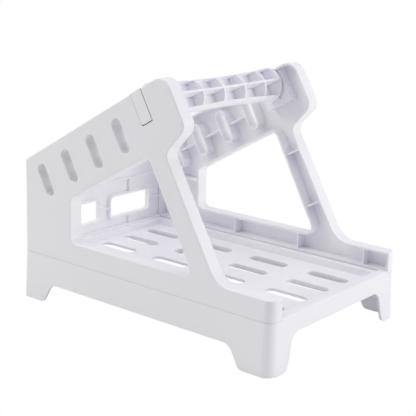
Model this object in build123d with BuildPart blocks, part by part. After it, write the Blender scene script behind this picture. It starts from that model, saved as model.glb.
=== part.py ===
from build123d import *
import math
import os

# Knock-down kitchen stand: a slotted tray on four hollow legs, two sloping side frames, a windowed back
# panel and a ribbed half-round crossbar. All sizes in millimetres. +X is the open front, +Z is up, and the
# origin is on the floor at the centre of the footprint. Profiles of the side frames are drawn as
# (distance from the back edge, height).

os.makedirs("parts", exist_ok=True)

# Overall
LENGTH = 300.0
WIDTH = 205.0
SEAM_Z = 47.3  # top of the tray, where the panels stand
FRONT_CORNER_R = 9.0  # plan radius of the two front corners
BACK_CORNER_R = 2.0
FIT = 0.2  # gap on each side of a joint
EDGE_R = 1.2  # broken outer edges

# Tray
TRAY_WALL = 2.5
TRAY_DRAFT = 2.4  # degrees, the skirts flare towards the floor
DECK_Z = 41.5  # top of the sunken deck
RECESS_BACK = 14.0  # distance of the sunken deck from the back edge
RECESS_FRONT = 291.0
RECESS_WIDTH = 157.4
RECESS_R = 3.0
FRONT_LIP_Z = 49.2
FRONT_LIP_R = 1.7
SIDE_ARCH_Z = 19.7
REAR_FOOT = 26.0
FRONT_FOOT = 268.8
FOOT_LEAN = 60.0  # degrees, side arch flanks
END_ARCH_Z = 32.3
END_ARCH_HALF = 79.3
END_LEAN = 77.0
ARCH_R = 12.0
SIDE_FOOT_R = 6.0
END_FOOT_R = 9.0
DECK_SLOT_LENGTH = 44.5
DECK_SLOT_WIDTH = 13.2
DECK_SLOT_PITCH_X = 70.0
DECK_SLOT_PITCH_Y = 35.2
DECK_COLUMNS = 4
DECK_ROWS = 4
UNDER_RIB = 1.8
UNDER_RIB_DEPTH = 6.0

# Side frames
PANEL_DEPTH = 14.5
PANEL_WALL = 2.2
RIM_R = 0.6  # inner edge of the outer wall
POST_Z = 139.2  # height of the back edge
SLOPE = 30.0  # degrees
HEAD_REACH = 204.3  # along the slope, back edge to the front edge of the head
HEAD_FRONT = 51.7
CHIN_LENGTH = 33.4
CHIN_ANGLE = 47.5
HEAD_TOP_R = 14.0
CHIN_R = 11.0
NECK_R = 10.0
STRUT_FOOT_R = 24.0
RAIL_Z = 67.2
WINDOW_BACK = 62.6
WINDOW_SILL = 67.7
WINDOW_FRONT = 215.1
WINDOW_LEAN = 61.0
WINDOW_R = 7.0
BAND_WIDTH = 56.0  # sloping band between the window and the top edge

# Slots in the sloping band
SLOT_COUNT = 4
SLOT_FIRST = 17.3
SLOT_PITCH = 37.7
SLOT_DROP = 28.0
SLOT_LENGTH = 32.8
SLOT_WIDTH = 11.2
SLOT_TAPER = 1.6
TUBE_WALL = 1.9
TUBE_EDGE_R = 1.1

# Stiffening ribs of the side frames
RIB = 1.8
RIB_SET_BACK = 1.6
STRUT_RIB_HEIGHTS = (147.8, 99.0)
STRUT_RIB_LENGTH = 19.0
RAIL_RIB_PLACES = (113.0, 194.0, 271.0)
POST_RIB_Z = 97.0

# Joint between the side frames and the tray
TAB_PLACES = (36.0, 150.0, 262.0)
TAB_LENGTH = 18.0
TAB_THICK = 2.6
TAB_DEPTH = 9.0
TAB_INSET = 10.0  # outer face of the frame to the outer face of the tab
BARB = 0.8
BARB_LENGTH = 12.0
BARB_HEIGHT = 2.4

# Back panel
BACK_SKIN = 2.0
BACK_INSET = 2.5
BACK_FRONT = 8.5
BACK_TOP = 138.4
BACK_FLANGE = 2.2
BACK_WINDOW_INNER = 8.5
BACK_WINDOW_OUTER = 68.0
BACK_WINDOW_SILL = 60.6
BACK_WINDOW_HEAD = 83.0
BACK_WINDOW_R = 3.5
BACK_RIB_Z = 100.0
GROOVE_DEPTH = 6.0
BACK_TAB_Y = 38.0

# Crossbar
BAR_ALONG = 166.0  # along the slope from the back edge
BAR_DROP = 12.0
BAR_END_R = 17.3
BAR_WAIST_R = 14.4
BAR_BACK = 2.0
BAR_WALL = 2.0
BAR_SHELL = 2.9  # wall above and below the cells
BAR_PITCH = 31.2
BAR_WEBS = 5
KEY_THICK = 13.2
KEY_LENGTH = 29.8
KEY_R = 2.0  # lower back corner
KEY_FRONT_GAP = 0.5  # extra room for the key in the skin
KEY_DROP_GAP = 0.9
SEAT_FRONT = 18.4
SEAT_BACK = 12.8
SEAT_DROP = 23.5

# Directions and corner points of the side frame profile
along = Vector(math.cos(math.radians(SLOPE)), math.sin(math.radians(SLOPE)))
down = Vector(math.sin(math.radians(SLOPE)), -math.cos(math.radians(SLOPE)))
chin_way = Vector(-math.cos(math.radians(CHIN_ANGLE)), -math.sin(math.radians(CHIN_ANGLE)))
post_top = Vector(0, POST_Z)
head_top = post_top + along * HEAD_REACH
chin = head_top + down * HEAD_FRONT
neck = chin + chin_way * CHIN_LENGTH
strut_foot = neck + down * ((RAIL_Z - neck.Y) / down.Y)
rail_tip = Vector(LENGTH, RAIL_Z)

# Window corner points
slope_rise = math.tan(math.radians(SLOPE))
window_rise = math.tan(math.radians(WINDOW_LEAN))
band_foot = POST_Z - BAND_WIDTH / math.cos(math.radians(SLOPE))
peak_x = (WINDOW_SILL + WINDOW_FRONT * window_rise - band_foot) / (slope_rise + window_rise)
window_peak = Vector(peak_x, band_foot + slope_rise * peak_x)
window_corners = [
    Vector(WINDOW_BACK, WINDOW_SILL),
    Vector(WINDOW_BACK, band_foot + slope_rise * WINDOW_BACK),
    window_peak,
    Vector(WINDOW_FRONT, WINDOW_SILL),
]

# Working planes
half_length = LENGTH / 2
half_width = WIDTH / 2
inner_half = half_width - PANEL_DEPTH
outer_face = Plane(origin=(-half_length, half_width, 0), x_dir=(1, 0, 0), z_dir=(0, -1, 0))
skin_face = outer_face.offset(PANEL_WALL)
slot_steps = [SLOT_FIRST + i * SLOT_PITCH for i in range(SLOT_COUNT)]
slot_points = [post_top + along * step + down * SLOT_DROP for step in slot_steps]
bar_point = post_top + along * BAR_ALONG + down * BAR_DROP
bar_centre = (bar_point.X - half_length, 0, bar_point.Y)
bar_front = (along.X, 0, along.Y)
bar_profile = Plane(origin=bar_centre, x_dir=(0, 1, 0), z_dir=(-down.X, 0, -down.Y))
cell_floor = Plane(origin=bar_centre, x_dir=(0, 1, 0), z_dir=bar_front)
bar_outer = Plane(origin=bar_centre, x_dir=bar_front, z_dir=(0, -1, 0)).offset(-half_width)

# ---------------------------------------------------------------------------------------------- tray
deck_length = RECESS_FRONT - RECESS_BACK
deck_centre = (RECESS_FRONT + RECESS_BACK) / 2 - half_length
deck_under = DECK_Z - TRAY_WALL
ledge_under = SEAM_Z - TRAY_WALL
side_run = SIDE_ARCH_Z / math.tan(math.radians(FOOT_LEAN))
end_run = END_ARCH_Z / math.tan(math.radians(END_LEAN))
tab_y = half_width - TAB_INSET - TAB_THICK / 2
back_tab_x = BACK_INSET + FIT + (BACK_SKIN - FIT) / 2 - half_length
floor_flare = SEAM_Z * math.tan(math.radians(TRAY_DRAFT))

with BuildSketch() as tray_floor:
    # Footprint of the flared skirts on the floor
    Rectangle(LENGTH + 2 * floor_flare, WIDTH + 2 * floor_flare)
    fillet(tray_floor.vertices().group_by(Axis.X)[-1], radius=FRONT_CORNER_R + floor_flare)
    fillet(tray_floor.vertices().group_by(Axis.X)[0], radius=BACK_CORNER_R + floor_flare)

with BuildPart() as hollow:
    # Space under the deck, leaving an even wall
    with BuildSketch():
        add(offset(tray_floor.sketch, amount=-TRAY_WALL, mode=Mode.PRIVATE))
    extrude(amount=ledge_under, taper=TRAY_DRAFT)

with BuildPart() as base_tray:
    with BuildSketch():
        add(tray_floor.sketch)
    extrude(amount=SEAM_Z, taper=TRAY_DRAFT)
    fillet(base_tray.faces().sort_by(Axis.Z)[-1].outer_wire().edges(), radius=EDGE_R / 2)
    add(hollow.part, mode=Mode.SUBTRACT)
    # Sunken deck pan
    with BuildSketch(Plane.XY.offset(deck_under)):
        with Locations((deck_centre, 0)):
            Rectangle(deck_length + 2 * TRAY_WALL, RECESS_WIDTH + 2 * TRAY_WALL)
    extrude(amount=SEAM_Z - deck_under)
    with BuildSketch(Plane.XY.offset(DECK_Z)):
        with Locations((deck_centre, 0)):
            RectangleRounded(deck_length, RECESS_WIDTH, RECESS_R)
    extrude(amount=SEAM_Z, mode=Mode.SUBTRACT)
    # Raised front lip between the side frames
    with BuildSketch(Plane.XY.offset(ledge_under)):
        with Locations(((RECESS_FRONT + LENGTH) / 2 - half_length, 0)):
            Rectangle(LENGTH - RECESS_FRONT, 2 * (inner_half - FIT))
    extrude(amount=FRONT_LIP_Z - ledge_under)
    lip_edge = base_tray.edges().filter_by(Axis.Y).group_by(Axis.Z)[-1].sort_by(Axis.X)[-1]
    fillet(lip_edge, radius=FRONT_LIP_R)
    # Deck slots
    with BuildSketch(Plane.XY.offset(DECK_Z)):
        with GridLocations(DECK_SLOT_PITCH_X, DECK_SLOT_PITCH_Y, DECK_COLUMNS, DECK_ROWS):
            SlotOverall(DECK_SLOT_LENGTH, DECK_SLOT_WIDTH)
    extrude(amount=-2 * TRAY_WALL, mode=Mode.SUBTRACT)
    # Stiffening ribs under the deck
    with BuildSketch(Plane.XY.offset(deck_under)):
        with GridLocations(DECK_SLOT_PITCH_X, 0, DECK_COLUMNS - 1, 1):
            Rectangle(UNDER_RIB, RECESS_WIDTH)
        with GridLocations(0, 2 * DECK_SLOT_PITCH_Y, 1, 2):
            Rectangle(deck_length, UNDER_RIB)
    extrude(amount=-UNDER_RIB_DEPTH)
    # Slots that take the tabs of the side frames and of the back panel
    with BuildSketch(Plane.XY.offset(SEAM_Z)):
        with Locations(*[(x - half_length, side * tab_y) for x in TAB_PLACES for side in (-1, 1)]):
            Rectangle(TAB_LENGTH + 2 * FIT, TAB_THICK + 2 * FIT)
        with Locations((back_tab_x, -BACK_TAB_Y), (back_tab_x, BACK_TAB_Y)):
            Rectangle(BACK_SKIN + FIT, TAB_LENGTH + 2 * FIT)
    extrude(amount=-2 * TRAY_WALL, mode=Mode.SUBTRACT)
    # Arches between the legs, seen from the side and from the ends
    with BuildSketch(Plane.XZ) as side_arch:
        with BuildLine():
            Polyline(
                (REAR_FOOT - half_length, 0),
                (REAR_FOOT + side_run - half_length, SIDE_ARCH_Z),
                (FRONT_FOOT - side_run - half_length, SIDE_ARCH_Z),
                (FRONT_FOOT - half_length, 0),
                close=True,
            )
        make_face()
        fillet(side_arch.vertices().group_by(Axis.Y)[-1], radius=ARCH_R)
    extrude(amount=WIDTH, both=True, mode=Mode.SUBTRACT)
    with BuildSketch(Plane.YZ) as end_arch:
        with BuildLine():
            Polyline(
                (-END_ARCH_HALF, 0),
                (end_run - END_ARCH_HALF, END_ARCH_Z),
                (END_ARCH_HALF - end_run, END_ARCH_Z),
                (END_ARCH_HALF, 0),
                close=True,
            )
        make_face()
        fillet(end_arch.vertices().group_by(Axis.Y)[-1], radius=ARCH_R)
    extrude(amount=LENGTH, both=True, mode=Mode.SUBTRACT)
    # Rounded toes of the legs
    side_toes = base_tray.edges().group_by(Axis.Z)[0].filter_by(Axis.Y)
    fillet(side_toes.filter_by(lambda e: abs(e.center().X) < half_length - TRAY_WALL), radius=SIDE_FOOT_R)
    end_toes = base_tray.edges().group_by(Axis.Z)[0].filter_by(Axis.X)
    end_toes = end_toes.filter_by(lambda e: e.length < 2 * TRAY_WALL)
    fillet(end_toes.filter_by(lambda e: abs(e.center().Y) < half_width - 2 * TRAY_WALL), radius=END_FOOT_R)

base_tray.part.label = "base_tray"
export_step(base_tray.part, "parts/base_tray.step")

# --------------------------------------------------------------------------------------- side frames
with BuildSketch() as frame_outline:
    with BuildLine():
        Polyline(
            (0, SEAM_Z), post_top, head_top, chin, neck, strut_foot, rail_tip, (LENGTH, SEAM_Z), close=True
        )
    make_face()
    fillet(frame_outline.vertices().sort_by_distance(head_top)[0], radius=HEAD_TOP_R)
    fillet(frame_outline.vertices().sort_by_distance(chin)[0], radius=CHIN_R)
    fillet(frame_outline.vertices().sort_by_distance(neck)[0], radius=NECK_R)
    fillet(frame_outline.vertices().sort_by_distance(strut_foot)[0], radius=STRUT_FOOT_R)
    with BuildLine():
        Polyline(*window_corners, close=True)
    make_face(mode=Mode.SUBTRACT)
    fillet(frame_outline.face().inner_wires()[0].vertices(), radius=WINDOW_R)

frame_core_outline = offset(frame_outline.sketch, amount=-PANEL_WALL, kind=Kind.INTERSECTION)

with BuildPart() as frame_core:
    # Open hollow of a side frame, with the rounded front corner of the outside
    with BuildSketch(skin_face):
        add(frame_core_outline)
    extrude(amount=PANEL_DEPTH)
    tip_edges = frame_core.edges().filter_by(Axis.Z).group_by(Axis.X)[-1]
    fillet(tip_edges.sort_by(Axis.Y)[-1], radius=FRONT_CORNER_R - PANEL_WALL)

guide_x = BACK_INSET + BACK_SKIN + FIT

with BuildPart() as right_side_panel:
    # Solid blank with its rounded front corner and broken outer edges
    with BuildSketch(outer_face):
        add(frame_outline.sketch)
    extrude(amount=PANEL_DEPTH)
    tip_edges = right_side_panel.edges().filter_by(Axis.Z).group_by(Axis.X)[-1]
    fillet(tip_edges.sort_by(Axis.Y)[-1], radius=FRONT_CORNER_R)
    back_edges = right_side_panel.edges().filter_by(Axis.Z).group_by(Axis.X)[0]
    fillet(back_edges.sort_by(Axis.Y)[-1], radius=BACK_CORNER_R)
    skin = right_side_panel.faces().filter_by(Axis.Y).sort_by(Axis.Y)[-1]
    fillet(skin.inner_wires()[0].edges(), radius=EDGE_R)
    skin = right_side_panel.faces().filter_by(Axis.Y).sort_by(Axis.Y)[-1]
    rim_edge = skin.outer_wire().edges().sort_by_distance(outer_face.from_local_coords(head_top))[0]
    fillet(rim_edge, radius=EDGE_R)
    inner_rim = right_side_panel.faces().filter_by(Axis.Y).sort_by(Axis.Y)[0].outer_wire().edges()
    inner_head_top = outer_face.offset(PANEL_DEPTH).from_local_coords(head_top)
    fillet(inner_rim.sort_by_distance(inner_head_top)[0], radius=RIM_R)
    fillet(right_side_panel.faces().sort_by(Axis.Z)[0].edges().sort_by(Axis.Y)[-1], radius=EDGE_R / 2)
    add(frame_core.part, mode=Mode.SUBTRACT)
    # Slot tubes, narrowing towards the inside
    with BuildSketch(skin_face.offset(-PANEL_WALL / 2)):
        with Locations(*slot_points):
            SlotOverall(SLOT_LENGTH + 2 * TUBE_WALL, SLOT_WIDTH + 2 * TUBE_WALL, rotation=-(90 - SLOPE))
    extrude(amount=PANEL_DEPTH - PANEL_WALL / 2, taper=SLOT_TAPER)
    # Stiffening ribs between the tubes, along the band
    with BuildSketch(skin_face.offset(-PANEL_WALL / 2)):
        for point in slot_points[1:]:
            with Locations(point - along * (SLOT_PITCH / 2)):
                Rectangle(SLOT_PITCH, RIB, rotation=SLOPE)
        # Ribs across the strut
        for height in STRUT_RIB_HEIGHTS:
            front_x = neck.X + (neck.Y - height) * down.X / -down.Y
            back_x = WINDOW_FRONT - (height - WINDOW_SILL) / window_rise
            with Locations(((front_x + back_x) / 2, height)):
                Rectangle(STRUT_RIB_LENGTH, RIB, rotation=SLOPE)
        # Upright ribs in the rail, a level rib in the post and the guide of the back panel's groove
        for place in RAIL_RIB_PLACES:
            with Locations((place, (SEAM_Z + RAIL_Z) / 2)):
                Rectangle(RIB, RAIL_Z - SEAM_Z - PANEL_WALL)
        with Locations(((guide_x + WINDOW_BACK) / 2, POST_RIB_Z)):
            Rectangle(WINDOW_BACK - guide_x - RIB, RIB)
    extrude(amount=PANEL_DEPTH - PANEL_WALL / 2 - RIB_SET_BACK)
    with BuildSketch(skin_face.offset(-PANEL_WALL / 2)):
        with Locations((guide_x + RIB / 2, (SEAM_Z + POST_Z) / 2)):
            Rectangle(RIB, POST_Z - SEAM_Z - PANEL_WALL)
    extrude(amount=PANEL_DEPTH - PANEL_WALL / 2)
    # Raised seat of the key behind the head
    seat_top = BAR_DROP - PANEL_WALL / 2
    with BuildSketch(bar_outer.offset(PANEL_WALL / 2)):
        with Locations(((SEAT_FRONT - SEAT_BACK) / 2, (seat_top - SEAT_DROP) / 2)):
            Rectangle(SEAT_FRONT + SEAT_BACK, seat_top + SEAT_DROP)
    extrude(amount=PANEL_DEPTH - PANEL_WALL / 2 - RIB_SET_BACK)
    # Openings: tapered slots and the key slot, open at the sloping edge
    with BuildSketch(outer_face):
        with Locations(*slot_points):
            SlotOverall(SLOT_LENGTH, SLOT_WIDTH, rotation=-(90 - SLOPE))
    extrude(amount=PANEL_DEPTH, taper=SLOT_TAPER, mode=Mode.SUBTRACT)
    mouths = right_side_panel.faces().filter_by(Axis.Y).sort_by(Axis.Y)[-1].inner_wires()
    slot_mouths = mouths.filter_by(lambda w: w.length < 2 * WINDOW_BACK)
    fillet([edge for wire in slot_mouths for edge in wire.edges()], radius=TUBE_EDGE_R)
    with BuildSketch(bar_outer) as key_slot:
        with Locations((0, BAR_DROP)):
            Rectangle(KEY_THICK + 2 * FIT, 2 * KEY_LENGTH)
        fillet(key_slot.vertices().group_by(Axis.Y)[0].sort_by(Axis.X)[0], radius=KEY_R)
    extrude(amount=PANEL_DEPTH, mode=Mode.SUBTRACT)
    with BuildSketch(bar_outer) as key_clearance:
        with Locations((KEY_FRONT_GAP / 2, BAR_DROP - KEY_DROP_GAP)):
            Rectangle(KEY_THICK + 2 * FIT + KEY_FRONT_GAP, 2 * KEY_LENGTH)
        fillet(key_clearance.vertices().group_by(Axis.Y)[0].sort_by(Axis.X)[0], radius=KEY_R)
    extrude(amount=PANEL_WALL, mode=Mode.SUBTRACT)
    # Snap tabs under the bottom flange
    with BuildSketch(Plane.XY.offset(SEAM_Z + PANEL_WALL / 2)):
        with Locations(*[(x - half_length, tab_y) for x in TAB_PLACES]):
            Rectangle(TAB_LENGTH, TAB_THICK)
    extrude(amount=-(TAB_DEPTH + PANEL_WALL / 2))
    with BuildSketch(Plane.YZ) as barb:
        with BuildLine():
            Polyline(
                (tab_y - TAB_THICK / 2, ledge_under - FIT),
                (tab_y - TAB_THICK / 2 - BARB, ledge_under - FIT),
                (tab_y - TAB_THICK / 2, ledge_under - FIT - BARB_HEIGHT),
                close=True,
            )
        make_face()
    for place in TAB_PLACES:
        with Locations((place - half_length, 0, 0)):
            add(extrude(barb.sketch, amount=BARB_LENGTH / 2, both=True, dir=(1, 0, 0), mode=Mode.PRIVATE))

right_side_panel.part.label = "right_side_panel"
export_step(right_side_panel.part, "parts/right_side_panel.step")

with BuildPart() as left_side_panel:
    add(mirror(right_side_panel.part, about=Plane.XZ, mode=Mode.PRIVATE))

left_side_panel.part.label = "left_side_panel"
export_step(left_side_panel.part, "parts/left_side_panel.step")

# --------------------------------------------------------------------------------------- back panel
back_plane = Plane.YZ.offset(BACK_INSET - half_length)
back_half = inner_half - FIT
window_y = (BACK_WINDOW_OUTER + BACK_WINDOW_INNER) / 2
window_width = BACK_WINDOW_OUTER - BACK_WINDOW_INNER
window_z = (BACK_WINDOW_HEAD + BACK_WINDOW_SILL) / 2
window_height = BACK_WINDOW_HEAD - BACK_WINDOW_SILL
back_height = BACK_TOP - SEAM_Z
back_mid_z = (BACK_TOP + SEAM_Z) / 2

with BuildPart() as back_panel:
    # Skin, wider than the gap between the side frames so that its edges enter their grooves
    with BuildSketch(back_plane):
        with Locations((0, back_mid_z)):
            Rectangle(2 * back_half, back_height)
        with Locations((0, back_mid_z)):
            Rectangle(2 * (inner_half + GROOVE_DEPTH), back_height - 4 * PANEL_WALL)
    extrude(amount=BACK_SKIN)
    # Window frames, edge flanges and ribs on the inner side
    with BuildSketch(back_plane):
        with Locations((0, back_mid_z)):
            Rectangle(2 * back_half, back_height)
            Rectangle(2 * back_half + FIT, back_height - 2 * BACK_FLANGE, mode=Mode.SUBTRACT)
        with Locations((-window_y, window_z), (window_y, window_z)):
            RectangleRounded(
                window_width + 2 * BACK_FLANGE, window_height + 2 * BACK_FLANGE, BACK_WINDOW_R + BACK_FLANGE
            )
        with Locations((0, BACK_RIB_Z)):
            Rectangle(2 * back_half, RIB)
    extrude(amount=BACK_FRONT - BACK_INSET)
    with BuildSketch(back_plane):
        with Locations((-window_y, (SEAM_Z + BACK_RIB_Z) / 2), (window_y, (SEAM_Z + BACK_RIB_Z) / 2)):
            Rectangle(RIB, BACK_RIB_Z - SEAM_Z - BACK_FLANGE)
        with Locations((0, window_z)):
            Rectangle(2 * back_half, RIB)
    extrude(amount=BACK_FRONT - BACK_INSET - RIB_SET_BACK / 2)
    # Windows
    with BuildSketch(back_plane):
        with Locations((-window_y, window_z), (window_y, window_z)):
            RectangleRounded(window_width, window_height, BACK_WINDOW_R)
    extrude(amount=BACK_FRONT, mode=Mode.SUBTRACT)
    # Tabs into the tray
    with BuildSketch(Plane.XY.offset(SEAM_Z + BACK_FLANGE / 2)):
        with Locations((back_tab_x, -BACK_TAB_Y), (back_tab_x, BACK_TAB_Y)):
            Rectangle(BACK_SKIN - FIT, TAB_LENGTH)
    extrude(amount=-(TAB_DEPTH + BACK_FLANGE / 2))

back_panel.part.label = "back_panel"
export_step(back_panel.part, "parts/back_panel.step")

# ----------------------------------------------------------------------------------------- crossbar
bar_half = inner_half - FIT
cell_half = bar_half - BAR_WALL
cell_end = BAR_END_R - BAR_SHELL
cell_waist = BAR_WAIST_R - BAR_SHELL

with BuildPart() as crossbar:
    # Half-round grip, slimmer at its waist, with a flat back
    with BuildSketch(bar_profile):
        with BuildLine():
            Spline((-bar_half, BAR_END_R), (0, BAR_WAIST_R), (bar_half, BAR_END_R))
            Polyline((bar_half, BAR_END_R), (bar_half, 0), (-bar_half, 0), (-bar_half, BAR_END_R))
        make_face()
    revolve(axis=Axis(bar_centre, (0, 1, 0)))
    split(bisect_by=cell_floor.offset(-BAR_BACK), keep=Keep.TOP)
    # Two rows of open cells between a long web and the cross webs
    with BuildSketch(cell_floor):
        with BuildLine():
            ThreePointArc((-cell_half, cell_end), (0, cell_waist), (cell_half, cell_end))
            Line((cell_half, cell_end), (cell_half, -cell_end))
            ThreePointArc((cell_half, -cell_end), (0, -cell_waist), (-cell_half, -cell_end))
            Line((-cell_half, -cell_end), (-cell_half, cell_end))
        make_face()
        Rectangle(2 * cell_half, BAR_WALL, mode=Mode.SUBTRACT)
        with GridLocations(BAR_PITCH, 0, BAR_WEBS, 1):
            Rectangle(BAR_WALL, 2 * BAR_END_R, mode=Mode.SUBTRACT)
    extrude(amount=BAR_END_R, mode=Mode.SUBTRACT)
    # End keys that drop into the slots of the side frames
    for side in (bar_outer, bar_outer.offset(2 * half_width - PANEL_DEPTH - FIT)):
        with BuildSketch(side) as key:
            with Locations((0, BAR_DROP - KEY_LENGTH / 2)):
                Rectangle(KEY_THICK, KEY_LENGTH)
            fillet(key.vertices().group_by(Axis.Y)[0].sort_by(Axis.X)[0], radius=KEY_R)
        extrude(amount=PANEL_DEPTH + FIT)

crossbar.part.label = "crossbar"
export_step(crossbar.part, "parts/crossbar.step")
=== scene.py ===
"""Looks for a white knock-down kitchen stand: soft moulded edges, satin plastic, a pale floor, studio light.

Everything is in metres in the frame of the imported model: +X is the open front, +Z is up, and the origin is on
the floor in the middle of the stand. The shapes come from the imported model.
"""

import math

import bpy
from mathutils import Matrix, Vector

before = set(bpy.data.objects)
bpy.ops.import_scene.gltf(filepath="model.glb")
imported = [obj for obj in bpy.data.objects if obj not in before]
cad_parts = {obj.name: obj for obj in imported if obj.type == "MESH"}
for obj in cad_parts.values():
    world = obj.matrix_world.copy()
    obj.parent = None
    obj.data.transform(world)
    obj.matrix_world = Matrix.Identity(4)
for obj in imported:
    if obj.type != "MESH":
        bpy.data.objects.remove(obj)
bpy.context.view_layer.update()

MM = 0.001
WHITE = (1.0, 1.0, 1.0, 1.0)

# Per moulding: whiteness (its differences between mouldings are painted light lifting shaded pieces), painted
# recess shade colour, and its reach from a wall
PLASTIC_AND_PAINTED_SHADE = {
    "base_tray": (0.945, (0.91, 0.91, 0.94, 1.0), 5 * MM),
    "left_side_panel": (0.935, (0.71, 0.71, 0.71, 1.0), 14 * MM),
    "right_side_panel": (0.965, (0.86, 0.86, 0.91, 1.0), 14 * MM),
    "back_panel": (0.95, (0.91, 0.91, 0.94, 1.0), 5 * MM),
    "crossbar": (0.965, (0.88, 0.88, 0.92, 1.0), 5 * MM),
}
CLEAN_OFFSET = (0.0, 0.0, 0.025)
CLOUDY_OFFSET = (-0.01, -0.01, 0.01)
PATTERN_STEP = Vector((0.31, 0.17, 0.23))
CLOUD_SIZE = 45 * MM
CLOUD_RANGE = (0.35, 0.65)
FLOW_SIZE = 9 * MM
FLOW_RANGE = (0.3, 0.7)
FLOW_DEPTH = 0.15 * MM
FLOW_STRENGTH = 0.25
GRAIN_SIZE = 0.35 * MM
GRAIN_DEPTH = 0.04 * MM
GRAIN_STRENGTH = 0.2
ROUGHNESS = (0.40, 0.50)
EDGE_SOFTNESS = 0.3 * MM
SCATTER_DEPTH = 2 * MM

# Openness, from 0 for a shut gap to 1 for open air, between which painted shade greys the recesses and blackens
# the seam gaps
PAINTED_RECESS_SHADE_RANGE = (0.3, 0.8)
PAINTED_SEAM_SHADE_RANGE = (0.12, 0.42)
PAINTED_SEAM_SHADE_REACH = 1.5 * MM
PAINTED_SEAM_SHADE = (0.03, 0.03, 0.035, 1.0)

# Studio: a pale room that is darker on one side (azimuth, elevation), and three soft boxes
# (name, azimuth, elevation, watts, colour)
ROOM_PALE = (0.51, 0.497, 0.509, 1.0)
ROOM_DARK = (0.09, 0.066, 0.157, 1.0)
DARK_SIDE = (308.0, 15.0)
DARK_SIDE_TIGHTNESS = 8.0
SOFT_BOXES = (
    ("right", 26.0, 12.0, 8.0, (0.99, 1.0, 0.94)),
    ("back_left", 215.0, 38.0, 6.8, (0.977, 1.0, 0.832)),
    ("top", 0.0, 90.0, 6.4, (0.832, 0.838, 1.0)),
)
BOX_SIZE = 1.0
BOX_DISTANCE = 1.5
BOX_AIM = Vector((0.0, 0.0, 0.1))
FLOOR_HALF = 4.0
FLOOR_COLOUR = (0.92, 0.92, 0.92, 1.0)
MOST_BOUNCES = 16
DIFFUSE_BOUNCES = 12

# Camera: where it stands, how it is turned, its focal length and film in millimetres, and its shift in films
CAMERA_AZIMUTH = math.radians(38.47)
CAMERA_ELEVATION = math.radians(14.08)
CAMERA_ROLL = math.radians(1.86)
CAMERA_PLACE = Vector((0.5974, -0.7502, 0.3497))
FOCAL_LENGTH = 88.425
FILM_WIDTH = 36.0
SHIFT_RIGHT = -0.00846
SHIFT_UP = -0.02236


class Graph:
    """A short way to write the node graph of a material or a world."""

    def __init__(self, owner):
        owner.use_nodes = True
        self.tree = owner.node_tree
        self.tree.nodes.clear()

    def node(self, kind, inputs=None, **settings):
        made = self.tree.nodes.new(kind)
        for key, value in settings.items():
            setattr(made, key, value)
        for key, value in (inputs or {}).items():
            if isinstance(value, bpy.types.NodeSocket):
                self.tree.links.new(value, made.inputs[key])
            else:
                made.inputs[key].default_value = value
        return made

    def noise(self, where, size, detail=2.0, roughness=0.5):
        """Noise between 0 and 1 whose lumps are about size metres across."""
        inputs = {"Vector": where, "Scale": 1 / size, "Detail": detail, "Roughness": roughness}
        return self.node("ShaderNodeTexNoise", inputs).outputs["Fac"]

    def remap(self, value, spread, to_low, to_high):
        """Stretch the values in spread over to_low to to_high, and clamp the rest."""
        inputs = {
            "Value": value,
            "From Min": spread[0],
            "From Max": spread[1],
            "To Min": to_low,
            "To Max": to_high,
        }
        return self.node("ShaderNodeMapRange", inputs).outputs["Result"]

    def math(self, operation, first, second):
        return self.node("ShaderNodeMath", {0: first, 1: second}, operation=operation).outputs["Value"]

    def mix(self, factor, first, second):
        """Blend of two colours; the colour sockets of a Mix node are its inputs 6 and 7 and its output 2."""
        inputs = {"Factor": factor, 6: first, 7: second}
        return self.node("ShaderNodeMix", inputs, data_type="RGBA").outputs[2]

    def openness(self, reach):
        """How open the air is within reach metres of the surface."""
        return self.node("ShaderNodeAmbientOcclusion", {"Distance": reach}, samples=8).outputs["AO"]

    def seen_by_camera(self):
        return self.node("ShaderNodeLightPath").outputs["Is Camera Ray"]


# ------------------------------------------------------------------------------------------ materials
def shade(whiteness, offset):
    """Colour a little off a grey of the given whiteness."""
    return (*(whiteness + part for part in offset), 1.0)


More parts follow.
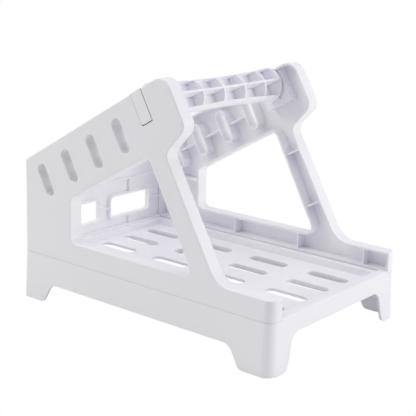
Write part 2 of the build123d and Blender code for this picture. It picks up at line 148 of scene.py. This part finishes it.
def moulded_plastic(name, shift, whiteness, painted_recess_shade, painted_shade_reach):
    """Satin white plastic: fine spark-eroded grain, faint flow clouds, with painted shade greying recesses and
    darkening seam gaps.
    """
    material = bpy.data.materials.new(name)
    g = Graph(material)
    place = g.node("ShaderNodeTexCoord").outputs["Object"]
    place = g.node("ShaderNodeVectorMath", {0: place, 1: shift}, operation="ADD").outputs["Vector"]

    clouds = g.noise(place, CLOUD_SIZE, detail=3.0)
    flow = g.noise(place, FLOW_SIZE, detail=4.0, roughness=0.6)
    grain = g.noise(place, GRAIN_SIZE, detail=2.0)

    # The whiteness is the plastic's white; its differences between mouldings are painted light that lifts
    # pieces in shade
    clean = shade(whiteness, CLEAN_OFFSET)
    cloudy = shade(whiteness, CLOUDY_OFFSET)
    tone = g.mix(g.remap(clouds, CLOUD_RANGE, 0.0, 1.0), clean, cloudy)
    # Painted shade: recesses turn towards a grey where little open air surrounds them
    tone = g.mix(g.remap(g.openness(painted_shade_reach), PAINTED_RECESS_SHADE_RANGE, 1.0, 0.0), tone, painted_recess_shade)
    # Painted shade: tight gaps at the seams between mouldings turn near black
    tone = g.mix(g.remap(g.openness(PAINTED_SEAM_SHADE_REACH), PAINTED_SEAM_SHADE_RANGE, 1.0, 0.0), tone, PAINTED_SEAM_SHADE)

    rounded = g.node("ShaderNodeBevel", {"Radius": EDGE_SOFTNESS}, samples=4).outputs["Normal"]
    waves = g.node(
        "ShaderNodeBump",
        {"Strength": FLOW_STRENGTH, "Distance": FLOW_DEPTH, "Height": flow, "Normal": rounded},
    )
    grained = {"Strength": GRAIN_STRENGTH, "Distance": GRAIN_DEPTH, "Height": grain}
    skin = g.node("ShaderNodeBump", {**grained, "Normal": waves.outputs["Normal"]})
    shader = g.node(
        "ShaderNodeBsdfPrincipled",
        {
            "Base Color": tone,
            "Roughness": g.remap(flow, FLOW_RANGE, *ROUGHNESS),
            "IOR": 1.49,
            "Specular IOR Level": 0.5,
            "Subsurface Weight": 0.08,
            "Subsurface Radius": (1.0, 0.95, 0.9),
            "Subsurface Scale": SCATTER_DEPTH,
            "Normal": skin.outputs["Normal"],
        },
    )
    g.node("ShaderNodeOutputMaterial", {"Surface": shader.outputs["BSDF"]})
    return material


def studio_floor(name):
    """White sweep: pure white straight into the camera, matt white for the light that bounces off it."""
    material = bpy.data.materials.new(name)
    g = Graph(material)
    cloth = g.node("ShaderNodeBsdfDiffuse", {"Color": FLOOR_COLOUR})
    glow = g.node("ShaderNodeEmission", {"Color": WHITE, "Strength": 1.0})
    layers = {0: g.seen_by_camera(), 1: cloth.outputs["BSDF"], 2: glow.outputs["Emission"]}
    both = g.node("ShaderNodeMixShader", layers)
    g.node("ShaderNodeOutputMaterial", {"Surface": both.outputs["Shader"]})
    return material


for index, (name, piece) in enumerate(sorted(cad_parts.items())):
    plastic = moulded_plastic(f"plastic_{name}", PATTERN_STEP * index, *PLASTIC_AND_PAINTED_SHADE[name])
    for slot in piece.material_slots:
        slot.material = plastic


# --------------------------------------------------------------------------------------------- studio
def add_object(name, data):
    made = bpy.data.objects.new(name, data)
    bpy.context.collection.objects.link(made)
    return made


def floor():
    mesh = bpy.data.meshes.new("floor")
    corners = [(x * FLOOR_HALF, y * FLOOR_HALF, 0.0) for x, y in ((-1, -1), (1, -1), (1, 1), (-1, 1))]
    mesh.from_pydata(corners, [], [(0, 1, 2, 3)])
    mesh.materials.append(studio_floor("pale_floor"))
    add_object("floor", mesh)


def towards(azimuth, elevation):
    """Unit vector from the stand, azimuth in degrees from +X towards +Y."""
    azimuth, elevation = math.radians(azimuth), math.radians(elevation)
    level = math.cos(elevation)
    return Vector((math.cos(azimuth) * level, math.sin(azimuth) * level, math.sin(elevation)))


def soft_box(name, azimuth, elevation, power, colour):
    """Square soft box that stands on the floor or higher and faces the middle of the stand."""
    lamp = bpy.data.lights.new(name, "AREA")
    lamp.size = BOX_SIZE
    lamp.energy = power
    lamp.color = colour
    made = add_object(name, lamp)
    made.location = BOX_AIM + towards(azimuth, elevation) * BOX_DISTANCE
    made.location.z = max(made.location.z, BOX_SIZE / 2)
    made.rotation_euler = (BOX_AIM - made.location).to_track_quat("-Z", "Y").to_euler()


def room():
    """Pale room that darkens round one direction, and is pure white straight into the camera."""
    world = bpy.data.worlds.new("studio")
    bpy.context.scene.world = world
    g = Graph(world)
    place = g.node("ShaderNodeTexCoord").outputs["Generated"]
    facing = g.node("ShaderNodeVectorMath", {0: place, 1: towards(*DARK_SIDE)}, operation="DOT_PRODUCT")
    ahead = g.math("MAXIMUM", facing.outputs["Value"], 0.0)
    walls = g.mix(g.math("POWER", ahead, DARK_SIDE_TIGHTNESS), ROOM_PALE, ROOM_DARK)
    background = g.node("ShaderNodeBackground", {"Color": g.mix(g.seen_by_camera(), walls, WHITE)})
    g.node("ShaderNodeOutputWorld", {"Surface": background.outputs["Background"]})


floor()
room()
for box in SOFT_BOXES:
    soft_box(*box)

# White mouldings light each other up, so light has to bounce many times between them
bpy.context.scene.cycles.max_bounces = MOST_BOUNCES
bpy.context.scene.cycles.diffuse_bounces = DIFFUSE_BOUNCES


# --------------------------------------------------------------------------------------------- camera
def camera_axes():
    """Right, up and backward unit vectors of the camera, as columns."""
    level = math.cos(CAMERA_ELEVATION)
    across = math.sin(CAMERA_AZIMUTH)
    along = math.cos(CAMERA_AZIMUTH)
    back = Vector((across * level, -along * level, math.sin(CAMERA_ELEVATION)))
    level_right = Vector((along, across, 0.0))
    level_up = back.cross(level_right)
    right = level_right * math.cos(CAMERA_ROLL) + level_up * math.sin(CAMERA_ROLL)
    up = level_up * math.cos(CAMERA_ROLL) - level_right * math.sin(CAMERA_ROLL)
    return Matrix((right, up, back)).transposed()


lens = bpy.data.cameras.new("camera")
lens.sensor_width = FILM_WIDTH
lens.lens = FOCAL_LENGTH
lens.shift_x = SHIFT_RIGHT
lens.shift_y = SHIFT_UP
camera = add_object("camera", lens)
camera.matrix_world = Matrix.Translation(CAMERA_PLACE) @ camera_axes().to_4x4()
bpy.context.scene.camera = camera
bpy.context.scene.view_settings.view_transform = "Standard"
